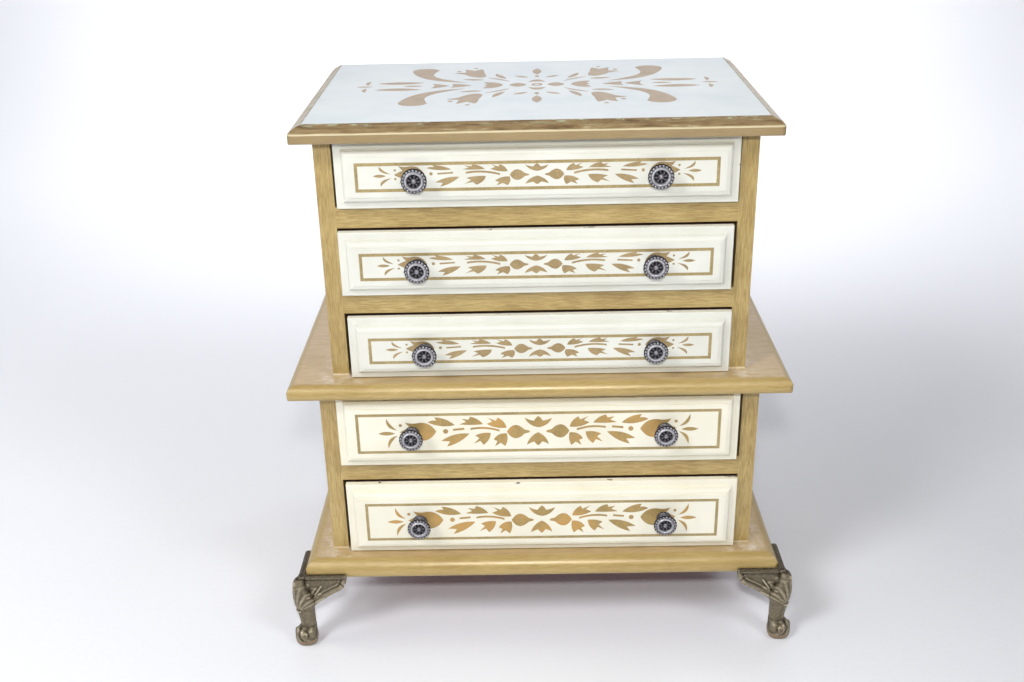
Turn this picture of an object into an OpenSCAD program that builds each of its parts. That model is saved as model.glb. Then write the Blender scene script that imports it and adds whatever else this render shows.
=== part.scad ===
// Jewellery chest with drawers: a three-drawer tier standing on a wider
// two-drawer tier, moulded boards above, between and below, four cast
// corner feet and ten rosette knobs.
// Millimetres. +Z up, floor at Z = 0, drawers face -Y, centred on X and Y.

/* [Tiers] */
// Outside width of the upper tier
upper_w = 239;          // [232:1:242]
// Outside width of the lower tier
lower_w = 258;          // [252:1:262]
// Depth of both tiers, front plane to back
tier_d = 152;           // [140:1:170]
// Thickness of the side boards
side_t = 9.5;           // [8:0.5:11]
// Clear height of each of the three upper drawer openings
upper_open = 38.8;      // [36:0.2:44]
// Clear height of each of the two lower drawer openings
lower_open = 49;        // [46:0.5:56]
// Thickness of the rails between drawers
rail_t = 12;            // [10:0.5:14]
// Depth of the rails, front to back
rail_d = 24;            // [16:1:40]
// Thickness of the back panels
back_t = 4;             // [3:0.5:6]
// Width of the runners the drawer boxes slide on
runner_w = 8;           // [7:0.5:12]

/* [Moulded boards] */
// Thickness of the top and waist boards
board_t = 9.5;          // [9:0.5:12]
// Thickness of the base board
base_t = 12;            // [9:0.5:14]
// Width of the top board
top_w = 260;            // [256:1:268]
// Overhang of the top board beyond the front
top_over = 15;          // [12:0.5:20]
// Width of the waist and base boards
waist_w = 290;          // [284:1:296]
// Overhang of the waist and base boards beyond the front
waist_over = 16.5;      // [14:0.5:20]
// Width of the sloped edge around the painted top panel
slope_w = 6.8;          // [5:0.2:8]
// Height of the square band under the slope
band_h = 5.2;           // [4:0.1:6]
// How far the painted panel lies below the upper line of the slope
panel_sink = 0.2;       // [0.1:0.1:0.6]
// Upper radius of the rounded waist edge
nose_r = 5.5;           // [4:0.1:6]
// Lower radius of the rounded waist edge
under_r = 3.6;          // [0.8:0.1:4]
// Upper radius of the rounded base edge
base_nose_r = 8;        // [5:0.1:8]
// Lower radius of the rounded base edge
base_under_r = 3.4;     // [0.8:0.1:4]
// Plan radius of the board corners
corner_r = 3;           // [1:0.5:5]

/* [Drawers] */
// How far the drawer rims stand in front of the tiers when closed
proud = 4.5;            // [2:0.5:6]
// How far the painted field is raised in front of the rim
raise = 4.7;            // [3.5:0.1:5.5]
// How far each drawer front reaches in behind the tier front
reach = 3.8;            // [3:0.2:6]
// Gap at each side of a drawer
side_gap = 1.4;         // [1.2:0.1:2]
// Gap under a drawer
gap_below = 0.4;        // [0.3:0.1:0.6]
// Gap above a drawer
gap_above = 1.2;        // [0.8:0.1:2]
// Sideways play taken up by the drawers at rest
play = 0.8;             // [0:0.1:0.8]
// Flat rim around the front's moulding
rim_w = 4;              // [3:0.2:5]
// Distance from the edge to the raised field
field_in = 7.6;         // [7.2:0.2:9]
// Thickness of the drawer sides and backs
box_t = 5;              // [4:0.5:7]
// Thickness of the drawer bottoms
bottom_t = 3;           // [2.5:0.5:4]
// Height of the slot under a drawer bottom
bottom_up = 2;          // [1.5:0.5:3]
// Depth of the grooves that hold a drawer bottom
groove = 2;             // [1:0.5:2.5]
// Thickness of the felt lining
felt_t = 1;             // [0.8:0.1:1.5]
// How much lower than the front the drawer box is
box_drop = 5;           // [4:0.5:8]

/* [Knobs] */
// Diameter of a knob
knob_d = 14;            // [12:0.5:16]
// Distance from the middle to a knob, upper drawers
knob_x_upper = 65;      // [58:0.5:72]
// Distance from the middle to a knob, lower drawers
knob_x_lower = 74;      // [66:0.5:82]
// Notches around the rim of a knob
knob_notches = 14;      // [10:1:18]
// Diameter of the knob screws
knob_screw_d = 3;       // [2.5:0.1:3.4]

/* [Feet] */
// Height of the feet
foot_h = 44.5;          // [40:0.5:52]
// How far the feet stand out beyond the base board
foot_out = 9.2;         // [8.6:0.2:10]
// Length of the bracket arms of a foot
arm_l = 35.4;           // [33:0.2:40]
// Diameter of the foot screws
foot_screw_d = 2.6;     // [2.2:0.1:3]

/* [Hidden] */
// Levels from the floor up
z_base = foot_h;
z_open5 = z_base + base_t;
z_rail_low = z_open5 + lower_open;
z_open4 = z_rail_low + rail_t;
z_waist = z_open4 + lower_open;
z_open3 = z_waist + board_t;
z_rail_2 = z_open3 + upper_open;
z_open2 = z_rail_2 + rail_t;
z_rail_1 = z_open2 + upper_open;
z_open1 = z_rail_1 + rail_t;
z_top = z_open1 + upper_open;
z_end = z_top + board_t;
// Depth: the feet are the outermost parts at the front and at the back
front_out = waist_over + foot_out;
y_front = front_out - (front_out + tier_d + foot_out) / 2;
y_back = y_front + tier_d;
// Drawer sizes
open_w_upper = upper_w - 2 * side_t;
open_w_lower = lower_w - 2 * side_t;
open_z = [z_open1, z_open2, z_open3, z_open4, z_open5];
rest_shift = play * [0.4, -1, 0.9, -1, 0.9];
y_rim = y_front - proud;
y_field = y_rim - raise;
y_inner = y_front + reach;
y_box_end = y_back - back_t - 0.5;
bore_gap = 0.1;
flange_t = 2.5;
knee = 18;
arm_face = 4.5;
red_brown = [0.30, 0.14, 0.09];
gold = [0.80, 0.66, 0.40];
cream = [0.95, 0.94, 0.90];
bronze = [0.42, 0.39, 0.31];
pewter = [0.45, 0.45, 0.46];
pine = [0.72, 0.58, 0.40];
felt = [0.40, 0.07, 0.10];
steel = [0.70, 0.70, 0.70];

// ---------- helpers ----------

// A box given by its two corners
module box(a, b) { translate(a) cube(b - a); }

// Smooth curve through a list of points
function curve_at(p, i, t) = let(
    n = len(p), a = p[max(i - 1, 0)], b = p[i],
    c = p[min(i + 1, n - 1)], d = p[min(i + 2, n - 1)])
  0.5 * ((2 * b) + (c - a) * t + (2 * a - 5 * b + 4 * c - d) * t * t
         + (3 * b - a - 3 * c + d) * t * t * t);
function curve(p, steps = 4) = concat(
  [for (i = [0 : len(p) - 2], s = [0 : steps - 1]) curve_at(p, i, s / steps)],
  [p[len(p) - 1]]);

// Extrude a profile drawn in (y, z) along X, from x0 to x1
module along_x(x0, x1)
  translate([x0, 0, 0]) rotate([90, 0, 90]) linear_extrude(x1 - x0) children();

// Extrude a profile drawn in (x, z) along Y, from y0 to y1
module along_y(y0, y1)
  translate([0, y1, 0]) rotate([90, 0, 0]) linear_extrude(y1 - y0) children();

// ---------- moulded boards ----------

// Sloped edge: outermost line at 0, running inwards to the flat top
slope_points = [
  [1.2, 0], [0.35, 0.35], [0, 1.2], [0, band_h],
  [slope_w * 0.34, band_h + (board_t - band_h) * 0.5], [slope_w, board_t]];

// Both ends of a sloped board of width w, centred
module slope_section(w) polygon(concat(
  [for (p = slope_points) [p[0] - w / 2, p[1]]],
  [for (i = [5 : -1 : 0])
    [w / 2 - slope_points[i][0], slope_points[i][1]]]));

// Rounded edge of a board t thick: outermost line at 0, inwards to length l, with its
// upper and lower radius
module edge_nose(l, t, top_r, low_r) difference() {
  square([l, t]);
  translate([0, t - top_r]) difference() {
    translate([-1, 0]) square([top_r + 1, top_r + 1]);
    translate([top_r, 0]) circle(top_r, $fn = 48);
  }
  difference() {
    translate([-1, -1]) square([low_r + 1, low_r + 1]);
    translate([low_r, low_r]) circle(low_r, $fn = 48);
  }
}

// Board with the moulding on its front and both ends, square at the back
module moulded_board(w, y0, y1, slope, t = board_t, top_r = nose_r,
                     low_r = under_r) {
  intersection() {
    along_y(y0, y1)
      if (slope) slope_section(w);
      else for (m = [0, 1]) mirror([m, 0, 0])
        translate([-w / 2, 0]) edge_nose(w / 2 + 1, t, top_r, low_r);
    along_x(-w / 2, w / 2) translate([y0, 0])
      if (slope)
        polygon(concat(slope_points, [[y1 - y0, t], [y1 - y0, 0]]));
      else edge_nose(y1 - y0, t, top_r, low_r);
    union() {
      box([-w / 2, y0 + corner_r, -1], [w / 2, y1, t + 1]);
      box([-w / 2 + corner_r, y0, -1], [w / 2 - corner_r, y1, t + 1]);
      for (s = [-1, 1])
        translate([s * (w / 2 - corner_r), y0 + corner_r, -1])
          cylinder(r = corner_r, h = t + 2, $fn = 32);
    }
  }
}

// The painted panel on top is sunk a little, and runs out at the back
module top_board() color(cream) difference() {
  inset = slope_w + panel_sink;
  translate([0, 0, z_top])
    moulded_board(top_w, y_front - top_over, y_back, true);
  box([-top_w / 2 + inset, y_front - top_over + inset, z_end - panel_sink],
      [top_w / 2 - inset, y_back + 1, z_end + 1]);
}

module waist_board() color(gold)
  translate([0, 0, z_waist])
    moulded_board(waist_w, y_front - waist_over, y_back, false);

module base_board() color(gold)
  difference() {
    translate([0, 0, z_base])
      moulded_board(waist_w, y_front - waist_over, y_back, false, base_t,
                    base_nose_r, base_under_r);
    foot_screw_places() translate([0, 0, -1])
      cylinder(d = foot_screw_d + 2 * bore_gap, h = 8, $fn = 24);
  }

// ---------- tiers ----------

module side_board(w, z0, z1, side) color(gold)
  if (side < 0) box([-w / 2, y_front, z0], [-w / 2 + side_t, y_back, z1]);
  else box([w / 2 - side_t, y_front, z0], [w / 2, y_back, z1]);

module upper_side_left() side_board(upper_w, z_open3, z_top, -1);
module upper_side_right() side_board(upper_w, z_open3, z_top, 1);
module lower_side_left() side_board(lower_w, z_open5, z_waist, -1);
module lower_side_right() side_board(lower_w, z_open5, z_waist, 1);

module back_panel(w, z0, z1) color(red_brown)
  box([-w / 2, y_back - back_t, z0], [w / 2, y_back, z1]);

module upper_back_panel() back_panel(open_w_upper, z_open3, z_top);
module lower_back_panel() back_panel(open_w_lower, z_open5, z_waist);

module rail(w, z0) color(gold)
  box([-w / 2, y_front, z0], [w / 2, y_front + rail_d, z0 + rail_t]);

module upper_rail_1() rail(open_w_upper, z_rail_1);
module upper_rail_2() rail(open_w_upper, z_rail_2);
module lower_rail() rail(open_w_lower, z_rail_low);

// Strips behind each rail, one along either side
module drawer_runners() color(pine)
  for (r = [[open_w_upper, z_rail_1], [open_w_upper, z_rail_2],
            [open_w_lower, z_rail_low]], m = [0, 1]) mirror([m, 0, 0])
    box([r[0] / 2 - runner_w, y_front + rail_d, r[1]],
        [r[0] / 2, y_back - back_t, r[1] + rail_t]);

// ---------- feet ----------
// Drawn in a corner frame: u inwards from the outermost plane along the
// front, v inwards along the side, z up from the floor.

// Silhouette of the leg, outer side down, then inner side up
function leg_points() = concat(
  curve([[4.2, 48], [2.7, 47], [1.8, 44.5], [1.4, 38], [1.2, 34], [1.6, 30],
         [2.3, 26], [3.4, 20], [3.9, 15], [3.9, 12.6]]),
  curve([[3.2, 11.3], [1.7, 10], [0.8, 8.4], [0.2, 6.2], [0, 3.8], [0.6, 1.6],
         [2, 0]]),
  curve([[11.5, 0], [13.2, 1.2], [13.8, 3.4], [13.5, 6.4], [13, 9.4],
         [12.9, 14], [12.8, 20], [13.1, 25], [14.8, 28.6], [knee, 31.6]]),
  [[knee, 48]]);

// Silhouette of one bracket arm from the corner to its rounded end
function arm_points() = concat(
  [[5.5, 49], [5.5, 38], [12, 30]],
  curve([[14.8, 28.6], [18.3, 31.7], [22.3, 34.2], [27, 36.9], [30.2, 38.5],
         [32.8, 40.6], [34.2, 43.4], [35, 46.2], [arm_l, 48.2]]),
  [[arm_l - 0.7, 49]]);

// The silhouettes are drawn for a foot 44.5 mm high and fitted to foot_h
module silhouette(points)
  polygon([for (p = points) [p[0], p[1] * foot_h / 44.5]]);

// Sunk panel on the face of an arm, above its rolled lower edge
function panel_points() = concat(
  [[18, 44.8], [30.8, 44.8]],
  curve([[31.4, 43.2], [29.8, 41.8], [25.8, 40.2], [21.8, 38], [19.4, 36.4],
         [18, 35]], 3));

// Bracket arm that laps the lower edge of the board, bevelled along its top
module foot_arm() difference() {
  intersection() {
    along_y(arm_face, foot_out - 0.25) silhouette(arm_points());
    along_x(0, arm_l) silhouette([[arm_face, 20], [arm_face, 47.2],
      [arm_face + 1.6, 49], [foot_out, 49], [foot_out, 20]]);
  }
  along_y(arm_face - 1, arm_face + 1) silhouette(panel_points());
}

// The leg silhouette across the diagonal, which takes off the sharp corner
module diagonal(inset)
  rotate(45) translate([inset, 0, 0]) along_y(-36, 36)
    silhouette([for (p = leg_points()) [p[0] * sqrt(2), p[1]]]);

module foot_leg() intersection() {
  along_y(0, knee) silhouette(leg_points());
  along_x(0, knee) silhouette(leg_points());
  diagonal(1.8);
  // plan of the knee and the pad: no square corners
  linear_extrude(foot_h + 4) polygon([[3.4, 0], [9.5, 0], [knee, 4],
    [knee, 15], [15, knee], [4, knee], [0, 9.5], [0, 3.4]]);
}

module foot_casting() {
  // the knee rises outside the board, and the board rests on the leg
  difference() {
    foot_leg();
    translate([foot_out - 0.25, foot_out - 0.25, foot_h]) cube(knee);
  }
  foot_arm();
  mirror([1, -1, 0]) foot_arm();
  // flat plate under the board, with two screw holes
  difference() {
    translate([0, 0, foot_h - flange_t]) linear_extrude(flange_t)
      polygon([[8.5, 8.5], [32, 8.5], [32, 13], [13, 32], [8.5, 32]]);
    foot_holes() translate([0, 0, -1])
      cylinder(d = foot_screw_d + 2 * bore_gap, h = flange_t + 2, $fn = 24);
  }
}

// Screw positions in the plate, at its underside
module foot_holes()
  for (p = [[26.2, 14.7], [14.7, 26.2]])
    translate([p[0], p[1], foot_h - flange_t]) children();

// Puts the corner frame at one of the four corners
module at_corner(sx, sy)
  translate([sx * (waist_w / 2 + foot_out),
             sy < 0 ? y_front - front_out : y_back + foot_out, 0])
    mirror([sx > 0 ? 1 : 0, 0, 0]) mirror([0, sy > 0 ? 1 : 0, 0]) children();

module foot_front_left() color(bronze) at_corner(-1, -1) foot_casting();
module foot_front_right() color(bronze) at_corner(1, -1) foot_casting();
module foot_back_left() color(bronze) at_corner(-1, 1) foot_casting();
module foot_back_right() color(bronze) at_corner(1, 1) foot_casting();

module foot_screw_places()
  for (sx = [-1, 1], sy = [-1, 1]) at_corner(sx, sy) foot_holes()
    translate([0, 0, flange_t]) children();

module foot_screws() color(steel)
  foot_screw_places() {
    translate([0, 0, -flange_t - 1.4]) cylinder(d = 5, h = 1.4, $fn = 24);
    translate([0, 0, -flange_t - 0.1])
      cylinder(d = foot_screw_d, h = flange_t + 6, $fn = 24);
  }

// ---------- drawers ----------

function is_upper(k) = k <= 3;
function open_w(k) = is_upper(k) ? open_w_upper : open_w_lower;
function open_h(k) = is_upper(k) ? upper_open : lower_open;
function front_w(k) = open_w(k) - 2 * side_gap;
function front_h(k) = open_h(k) - gap_below - gap_above;
function box_h(k) = front_h(k) - box_drop;
function knob_x(k) = is_upper(k) ? knob_x_upper : knob_x_lower;

// Places a drawer: its frame has X at the middle, Z at the drawer's underside
module at_drawer(k)
  translate([rest_shift[k - 1], 0, open_z[k - 1] + gap_below]) children();

// Half section of the moulded front: d in from the edge, s out from the rim
module front_half_section(half) {
  step_1 = 1.4;
  step_2 = raise - 0.7;
  bead = step_2 - step_1;
  translate([0.6, -proud - reach]) square([half - 0.6, proud + reach]);
  translate([0, -proud - reach]) square([half, proud + reach - 0.6]);
  translate([0.6, -0.6]) circle(0.6, $fn = 24);
  translate([rim_w, -1]) square([half - rim_w, 1 + step_1]);
  translate([rim_w + 0.3 + bead, 0]) square([half - rim_w - 0.3 - bead, step_2]);
  intersection() {
    translate([rim_w + 0.3 + bead, step_1]) circle(bead, $fn = 48);
    translate([rim_w, 0]) square([half - rim_w, raise]);
  }
  translate([field_in, 0]) square([half - field_in, raise]);
}

module drawer_front(k) color(cream) at_drawer(k) difference() {
  w = front_w(k);
  h = front_h(k);
  translate([0, y_rim, 0]) intersection() {
    // section across the width, extruded upwards
    linear_extrude(h) mirror([0, 1, 0]) for (m = [0, 1]) mirror([m, 0, 0])
      translate([-w / 2, 0]) front_half_section(w / 2 + 1);
    // section over the height, extruded along the width
    translate([-w / 2, 0, 0]) rotate([90, 0, 90]) linear_extrude(w)
      for (m = [0, 1]) translate([0, m * h]) mirror([0, m])
        rotate(90) front_half_section(h / 2 + 1);
  }
  // screw holes with counterbores on the inside
  for (s = [-1, 1]) translate([s * knob_x(k), y_inner, h / 2])
    rotate([90, 0, 0]) {
      translate([0, 0, -1])
        cylinder(d = knob_screw_d + 2 * bore_gap, h = 40, $fn = 24);
      translate([0, 0, -1]) cylinder(d = 7, h = 3.4, $fn = 32);
    }
  // groove for the bottom
  box([-w / 2 + box_t - groove, y_inner - groove, bottom_up],
      [w / 2 - box_t + groove, y_inner + 1, bottom_up + bottom_t]);
}

module drawer_side(k, side) color(pine) at_drawer(k)
  mirror([side > 0 ? 1 : 0, 0, 0]) difference() {
    box([-front_w(k) / 2, y_inner, 0],
        [-front_w(k) / 2 + box_t, y_box_end, box_h(k)]);
    box([-front_w(k) / 2 + box_t - groove, y_inner - 1, bottom_up],
        [-front_w(k) / 2 + box_t + 1, y_box_end - box_t + groove,
         bottom_up + bottom_t]);
  }

module drawer_back(k) color(pine) at_drawer(k) difference() {
  box([-front_w(k) / 2 + box_t, y_box_end - box_t, 0],
      [front_w(k) / 2 - box_t, y_box_end, box_h(k)]);
  box([-front_w(k) / 2, y_box_end - box_t - 1, bottom_up],
      [front_w(k) / 2, y_box_end - box_t + groove, bottom_up + bottom_t]);
}

module drawer_bottom(k) color(pine) at_drawer(k)
  box([-front_w(k) / 2 + box_t - groove, y_inner - groove, bottom_up],
      [front_w(k) / 2 - box_t + groove, y_box_end - box_t + groove,
       bottom_up + bottom_t]);

// Felt tray that covers the inside of the box
module drawer_lining(k) color(felt) at_drawer(k) difference() {
  x = front_w(k) / 2 - box_t;
  z = bottom_up + bottom_t;
  box([-x, y_inner, z], [x, y_box_end - box_t, box_h(k)]);
  box([-x + felt_t, y_inner + felt_t, z + felt_t],
      [x - felt_t, y_box_end - box_t - felt_t, box_h(k) + 1]);
}

// Knob standing on the XY plane, face up
module knob() {
  r = knob_d / 2;
  difference() {
    rotate_extrude($fn = 72) difference() {
      polygon(concat(
        [[0, 0], [4.6, 0], [4.6, 0.7], [3.9, 1.2]],
        curve([[3, 1.8], [2.7, 3], [3, 4.4], [4.4, 5.6], [r - 0.7, 6.6]]),
        [[r, 7.2], [r, 8.3], [r - 0.5, 8.9], [r - 1.5, 9.6], [r - 2.3, 9.7],
         [r - 3.2, 9.2], [r - 3.7, 8.5], [r - 4.2, 8.4], [1.6, 8.7],
         [1.1, 9.2], [0, 9.4]]));
      // hole for the screw
      square([knob_screw_d / 2 + bore_gap, 5]);
    }
    for (i = [0 : knob_notches - 1]) rotate(i * 360 / knob_notches)
      translate([r + 0.25, 0, 6]) cylinder(r = 0.75, h = 3, $fn = 16);
  }
}

module at_knobs(k) at_drawer(k)
  for (s = [-1, 1]) translate([s * knob_x(k), y_field, front_h(k) / 2])
    rotate([90, 0, 0]) children();

module drawer_knobs(k) color(pewter) at_knobs(k) knob();

module drawer_screws(k) color(steel) at_knobs(k) {
  back = -(raise + proud + reach);
  translate([0, 0, back + 0.2]) cylinder(d = 6, h = 2.2, $fn = 32);
  translate([0, 0, back + 1]) cylinder(d = knob_screw_d, h = 4.6 - 1 - back,
                                       $fn = 24);
}

// ---------- what is drawn ----------

top_board();
upper_side_left();
upper_side_right();
upper_back_panel();
upper_rail_1();
upper_rail_2();
waist_board();
lower_side_left();
lower_side_right();
lower_back_panel();
lower_rail();
base_board();
drawer_runners();
foot_front_left();
foot_front_right();
foot_back_left();
foot_back_right();
foot_screws();
for (k = [1 : 5]) {
  d = str("drawer_", k, "_");
  drawer_front(k);
  drawer_side(k, -1);
  drawer_side(k, 1);
  drawer_back(k);
  drawer_bottom(k);
  drawer_lining(k);
  drawer_knobs(k);
  drawer_screws(k);
}
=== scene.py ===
"""Looks for a jewellery chest with drawers: paint, stencils, gilding, cast knobs and cast feet.

Lengths are in millimetres until MM turns them into metres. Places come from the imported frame.
"""

import math

import bmesh
import bpy
import numpy as np
from mathutils import Matrix, Vector
from mathutils.geometry import tessellate_polygon


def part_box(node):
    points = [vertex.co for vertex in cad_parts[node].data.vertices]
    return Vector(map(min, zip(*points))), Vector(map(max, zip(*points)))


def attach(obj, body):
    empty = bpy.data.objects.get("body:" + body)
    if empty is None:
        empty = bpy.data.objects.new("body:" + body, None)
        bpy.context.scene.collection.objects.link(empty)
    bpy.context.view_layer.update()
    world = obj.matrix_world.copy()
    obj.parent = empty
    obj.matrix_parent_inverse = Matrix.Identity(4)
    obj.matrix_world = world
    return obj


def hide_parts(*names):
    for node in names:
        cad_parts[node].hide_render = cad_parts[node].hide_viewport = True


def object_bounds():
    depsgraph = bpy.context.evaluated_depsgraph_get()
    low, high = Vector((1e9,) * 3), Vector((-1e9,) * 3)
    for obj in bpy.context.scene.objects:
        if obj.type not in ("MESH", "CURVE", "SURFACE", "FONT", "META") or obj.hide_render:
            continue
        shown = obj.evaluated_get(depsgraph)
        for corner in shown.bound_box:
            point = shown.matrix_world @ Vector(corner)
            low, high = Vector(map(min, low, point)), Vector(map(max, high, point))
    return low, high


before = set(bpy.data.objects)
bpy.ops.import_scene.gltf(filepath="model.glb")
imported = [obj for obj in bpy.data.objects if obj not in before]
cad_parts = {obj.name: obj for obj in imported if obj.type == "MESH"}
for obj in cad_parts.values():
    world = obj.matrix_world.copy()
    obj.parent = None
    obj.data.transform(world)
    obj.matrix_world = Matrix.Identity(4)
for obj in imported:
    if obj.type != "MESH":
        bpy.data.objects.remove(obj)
cad_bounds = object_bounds()

MM = 0.001
DRAWERS = (1, 2, 3, 4, 5)
UPPER_DRAWERS = (1, 2, 3)
# the top board's edge: upright band, slope above it, and how far the panel is sunk inside
TOP_BAND_H = 5.2
TOP_SLOPE_W = 7.0
TOP_SINK = 0.2


def box_mm(node):
    """Lowest and highest corner of a CAD node, in millimetres."""
    low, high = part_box(node)
    return low / MM, high / MM


# ---------- colours and node helpers ----------


def rgb(red, green, blue):
    """Linear colour with alpha from 0 to 255 display values."""

    def linear(c):
        c /= 255
        return c / 12.92 if c <= 0.04045 else ((c + 0.055) / 1.055) ** 2.4

    return (linear(red), linear(green), linear(blue), 1)


class Paint:
    """A material with a Principled shader, and short calls that add nodes to it."""

    def __init__(self, name):
        self.material = bpy.data.materials.new(name)
        self.material.use_nodes = True
        self.tree = self.material.node_tree
        self.shader = self.tree.nodes["Principled BSDF"]

    def add(self, kind, inputs=None, **settings):
        made = self.tree.nodes.new(kind)
        for key, value in settings.items():
            setattr(made, key, value)
        for key, value in (inputs or {}).items():
            if isinstance(value, bpy.types.NodeSocket):
                self.tree.links.new(value, made.inputs[key])
            else:
                made.inputs[key].default_value = value
        return made

    def set(self, **sockets):
        """Shader sockets, with spaces written as underscores; values or node outputs."""
        for key, value in sockets.items():
            socket = self.shader.inputs[key.replace("_", " ")]
            if isinstance(value, bpy.types.NodeSocket):
                self.tree.links.new(value, socket)
            else:
                socket.default_value = value

    def place(self, scale=(1, 1, 1), offset=(0, 0, 0)):
        """The piece's own coordinates in millimetres, scaled to stretch a texture."""
        coordinate = self.add("ShaderNodeTexCoord").outputs["Object"]
        factor = tuple(s / MM for s in scale)
        return self.add(
            "ShaderNodeMapping",
            {"Vector": coordinate, "Scale": factor, "Location": offset},
        ).outputs["Vector"]

    def noise(self, size, detail=4, rough=0.5, stretch=(1, 1, 1), offset=(0, 0, 0)):
        """Noise with features about size mm across, from 0 to 1."""
        scale = tuple(s / size for s in stretch)
        return self.add(
            "ShaderNodeTexNoise",
            {
                "Vector": self.place(scale, offset),
                "Scale": 1.0,
                "Detail": detail,
                "Roughness": rough,
            },
        ).outputs["Fac"]

    def ramp(self, value, *stops, curve="LINEAR"):
        """Colour ramp; stops are (place, colour) or (place, grey)."""
        made = self.add("ShaderNodeValToRGB", {"Fac": value})
        made.color_ramp.interpolation = curve
        elements = made.color_ramp.elements
        while len(elements) < len(stops):
            elements.new(0.5)
        for element, (place, colour) in zip(elements, stops):
            element.position = place
            grey = not hasattr(colour, "__len__")
            element.color = (colour, colour, colour, 1) if grey else colour
        return made.outputs["Color"]

    def mix(self, amount, first, second):
        """First colour where amount is 0, second where it is 1."""
        made = self.add("ShaderNodeMix", data_type="RGBA")
        for key, value in ((0, amount), (6, first), (7, second)):
            if isinstance(value, bpy.types.NodeSocket):
                self.tree.links.new(value, made.inputs[key])
            else:
                made.inputs[key].default_value = value
        return made.outputs[2]

    def math(self, operation, first, second=0.0, clamp=False):
        made = self.add("ShaderNodeMath", operation=operation, use_clamp=clamp)
        for key, value in enumerate((first, second)):
            if isinstance(value, bpy.types.NodeSocket):
                self.tree.links.new(value, made.inputs[key])
            else:
                made.inputs[key].default_value = value
        return made.outputs[0]

    def span(self, value, low, high, to_low=0.0, to_high=1.0):
        """Value mapped from low..high to to_low..to_high, held at the ends."""
        return self.add(
            "ShaderNodeMapRange",
            {
                "Value": value,
                "From Min": low,
                "From Max": high,
                "To Min": to_low,
                "To Max": to_high,
            },
        ).outputs["Result"]

    def axes(self, source="Object"):
        """X, Y and Z of the piece's coordinates, in metres or as a share of its box."""
        coordinate = self.add("ShaderNodeTexCoord").outputs[source]
        return self.add("ShaderNodeSeparateXYZ", {"Vector": coordinate}).outputs

    def bump(self, *layers):
        """Bumps from (height, depth in mm) layers, one over the other."""
        normal = None
        for height, depth in layers:
            inputs = {"Height": height, "Distance": depth * MM, "Strength": 1.0}
            if normal is not None:
                inputs["Normal"] = normal
            normal = self.add("ShaderNodeBump", inputs).outputs["Normal"]
        self.set(Normal=normal)


# ---------- materials ----------

GOLD_DARK = rgb(156, 129, 74)
GOLD = rgb(180, 154, 95)
GOLD_LIGHT = rgb(204, 180, 122)
WOOD_UNDER = rgb(128, 96, 56)
GRAIN_ALONG = {"X": (0.07, 1, 1), "Y": (1, 0.07, 1), "Z": (1, 1, 0.07)}


def gilt(name, along, grain=0.04, rough=0.38):
    """Gold paint brushed on along one axis, over open-grained wood with grain mm deep."""
    p = Paint(name)
    stretch = GRAIN_ALONG[along]
    streaks = p.noise(0.5, 4, 0.6, stretch)
    pores = p.noise(0.6, 3, 0.7, tuple(s * (2 if s < 1 else 1) for s in stretch))
    patches = p.noise(30, 3, 0.5)
    tone = p.math(
        "ADD",
        p.math("MULTIPLY", streaks, 0.7),
        p.math("MULTIPLY", patches, 0.3),
    )
    colour = p.ramp(tone, (0.36, GOLD_DARK), (0.5, GOLD), (0.66, GOLD_LIGHT))
    pits = p.ramp(pores, (0.3, 1.0), (0.38, 0.0))
    colour = p.mix(p.math("MULTIPLY", pits, 0.3), colour, WOOD_UNDER)
    p.set(
        Base_Color=colour,
        Metallic=0.08,
        Specular_IOR_Level=0.75,
        Roughness=p.span(patches, 0.3, 0.7, rough, rough + 0.08),
    )
    p.bump((streaks, grain), (pits, grain / 2))
    return p


def base_colour(p):
    """The node output that feeds the shader's base colour so far."""
    return p.shader.inputs["Base Color"].links[0].from_socket


def facing(p, axis):
    """How far the surface faces along an axis of the piece, without sign."""
    normal = p.add("ShaderNodeTexCoord").outputs["Normal"]
    parts = p.add("ShaderNodeSeparateXYZ", {"Vector": normal}).outputs
    return p.math("ABSOLUTE", parts[axis])


def gilt_side():
    """Side boards: a thin pale line where their front edge meets the board below."""
    p = gilt("gilt_side", "Z")
    share = p.axes("Generated")["Z"]
    ragged = p.math("MULTIPLY", p.noise(2.5, 3, 0.6), 0.012)
    line = p.span(p.math("SUBTRACT", share, ragged), 0.004, 0.0)
    p.set(Base_Color=p.mix(p.math("MULTIPLY", line, 0.8), base_colour(p), rgb(236, 224, 196)))
    return p


def gilt_ledge(node, reach, stained=False):
    """A board whose flat upper face is painted duller, as painted shade for the dim light a
    gilt top face reflects, with pale rub marks beside the side boards.

    reach is the distance from the middle to the side boards' outer faces. A stained board
    has bare stained wood underneath.
    """
    low, high = box_mm(node)
    p = gilt(f"gilt_{node}", "X", grain=0.008, rough=0.3)
    smooth_gold = p.mix(0.45, base_colour(p), rgb(186, 158, 96))
    spot = p.axes()
    height = p.math("DIVIDE", spot["Z"], MM)
    # Painted shade: the flat upper face takes a duller light brown in place of the gold.
    upper = p.span(height, high.z - 0.35, high.z - 0.05)
    worn = p.noise(2.6, 5, 0.65, (0.25, 1, 1))
    top_face_painted_shade = p.ramp(worn, (0.3, rgb(180, 152, 106)), (0.7, rgb(198, 173, 128)))
    beside = p.math("ABSOLUTE", p.math("DIVIDE", spot["X"], MM))
    near = p.math(
        "MULTIPLY",
        p.span(beside, reach - 26, reach - 6),
        p.span(beside, reach + 10, reach + 2),
    )
    haze = p.math("MULTIPLY", near, p.ramp(p.noise(7, 4, 0.6), (0.42, 0.0), (0.68, 0.7)))
    top_face_painted_shade = p.mix(haze, top_face_painted_shade, rgb(226, 214, 196))
    colour = p.mix(upper, smooth_gold, top_face_painted_shade)
    if stained:
        under = p.span(height, low.z + 0.25, low.z + 0.1)
        dark_brown = p.ramp(worn, (0.35, rgb(92, 38, 22)), (0.65, rgb(126, 60, 36)))
        colour = p.mix(under, colour, dark_brown)
    p.set(Base_Color=colour)
    return p


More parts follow.
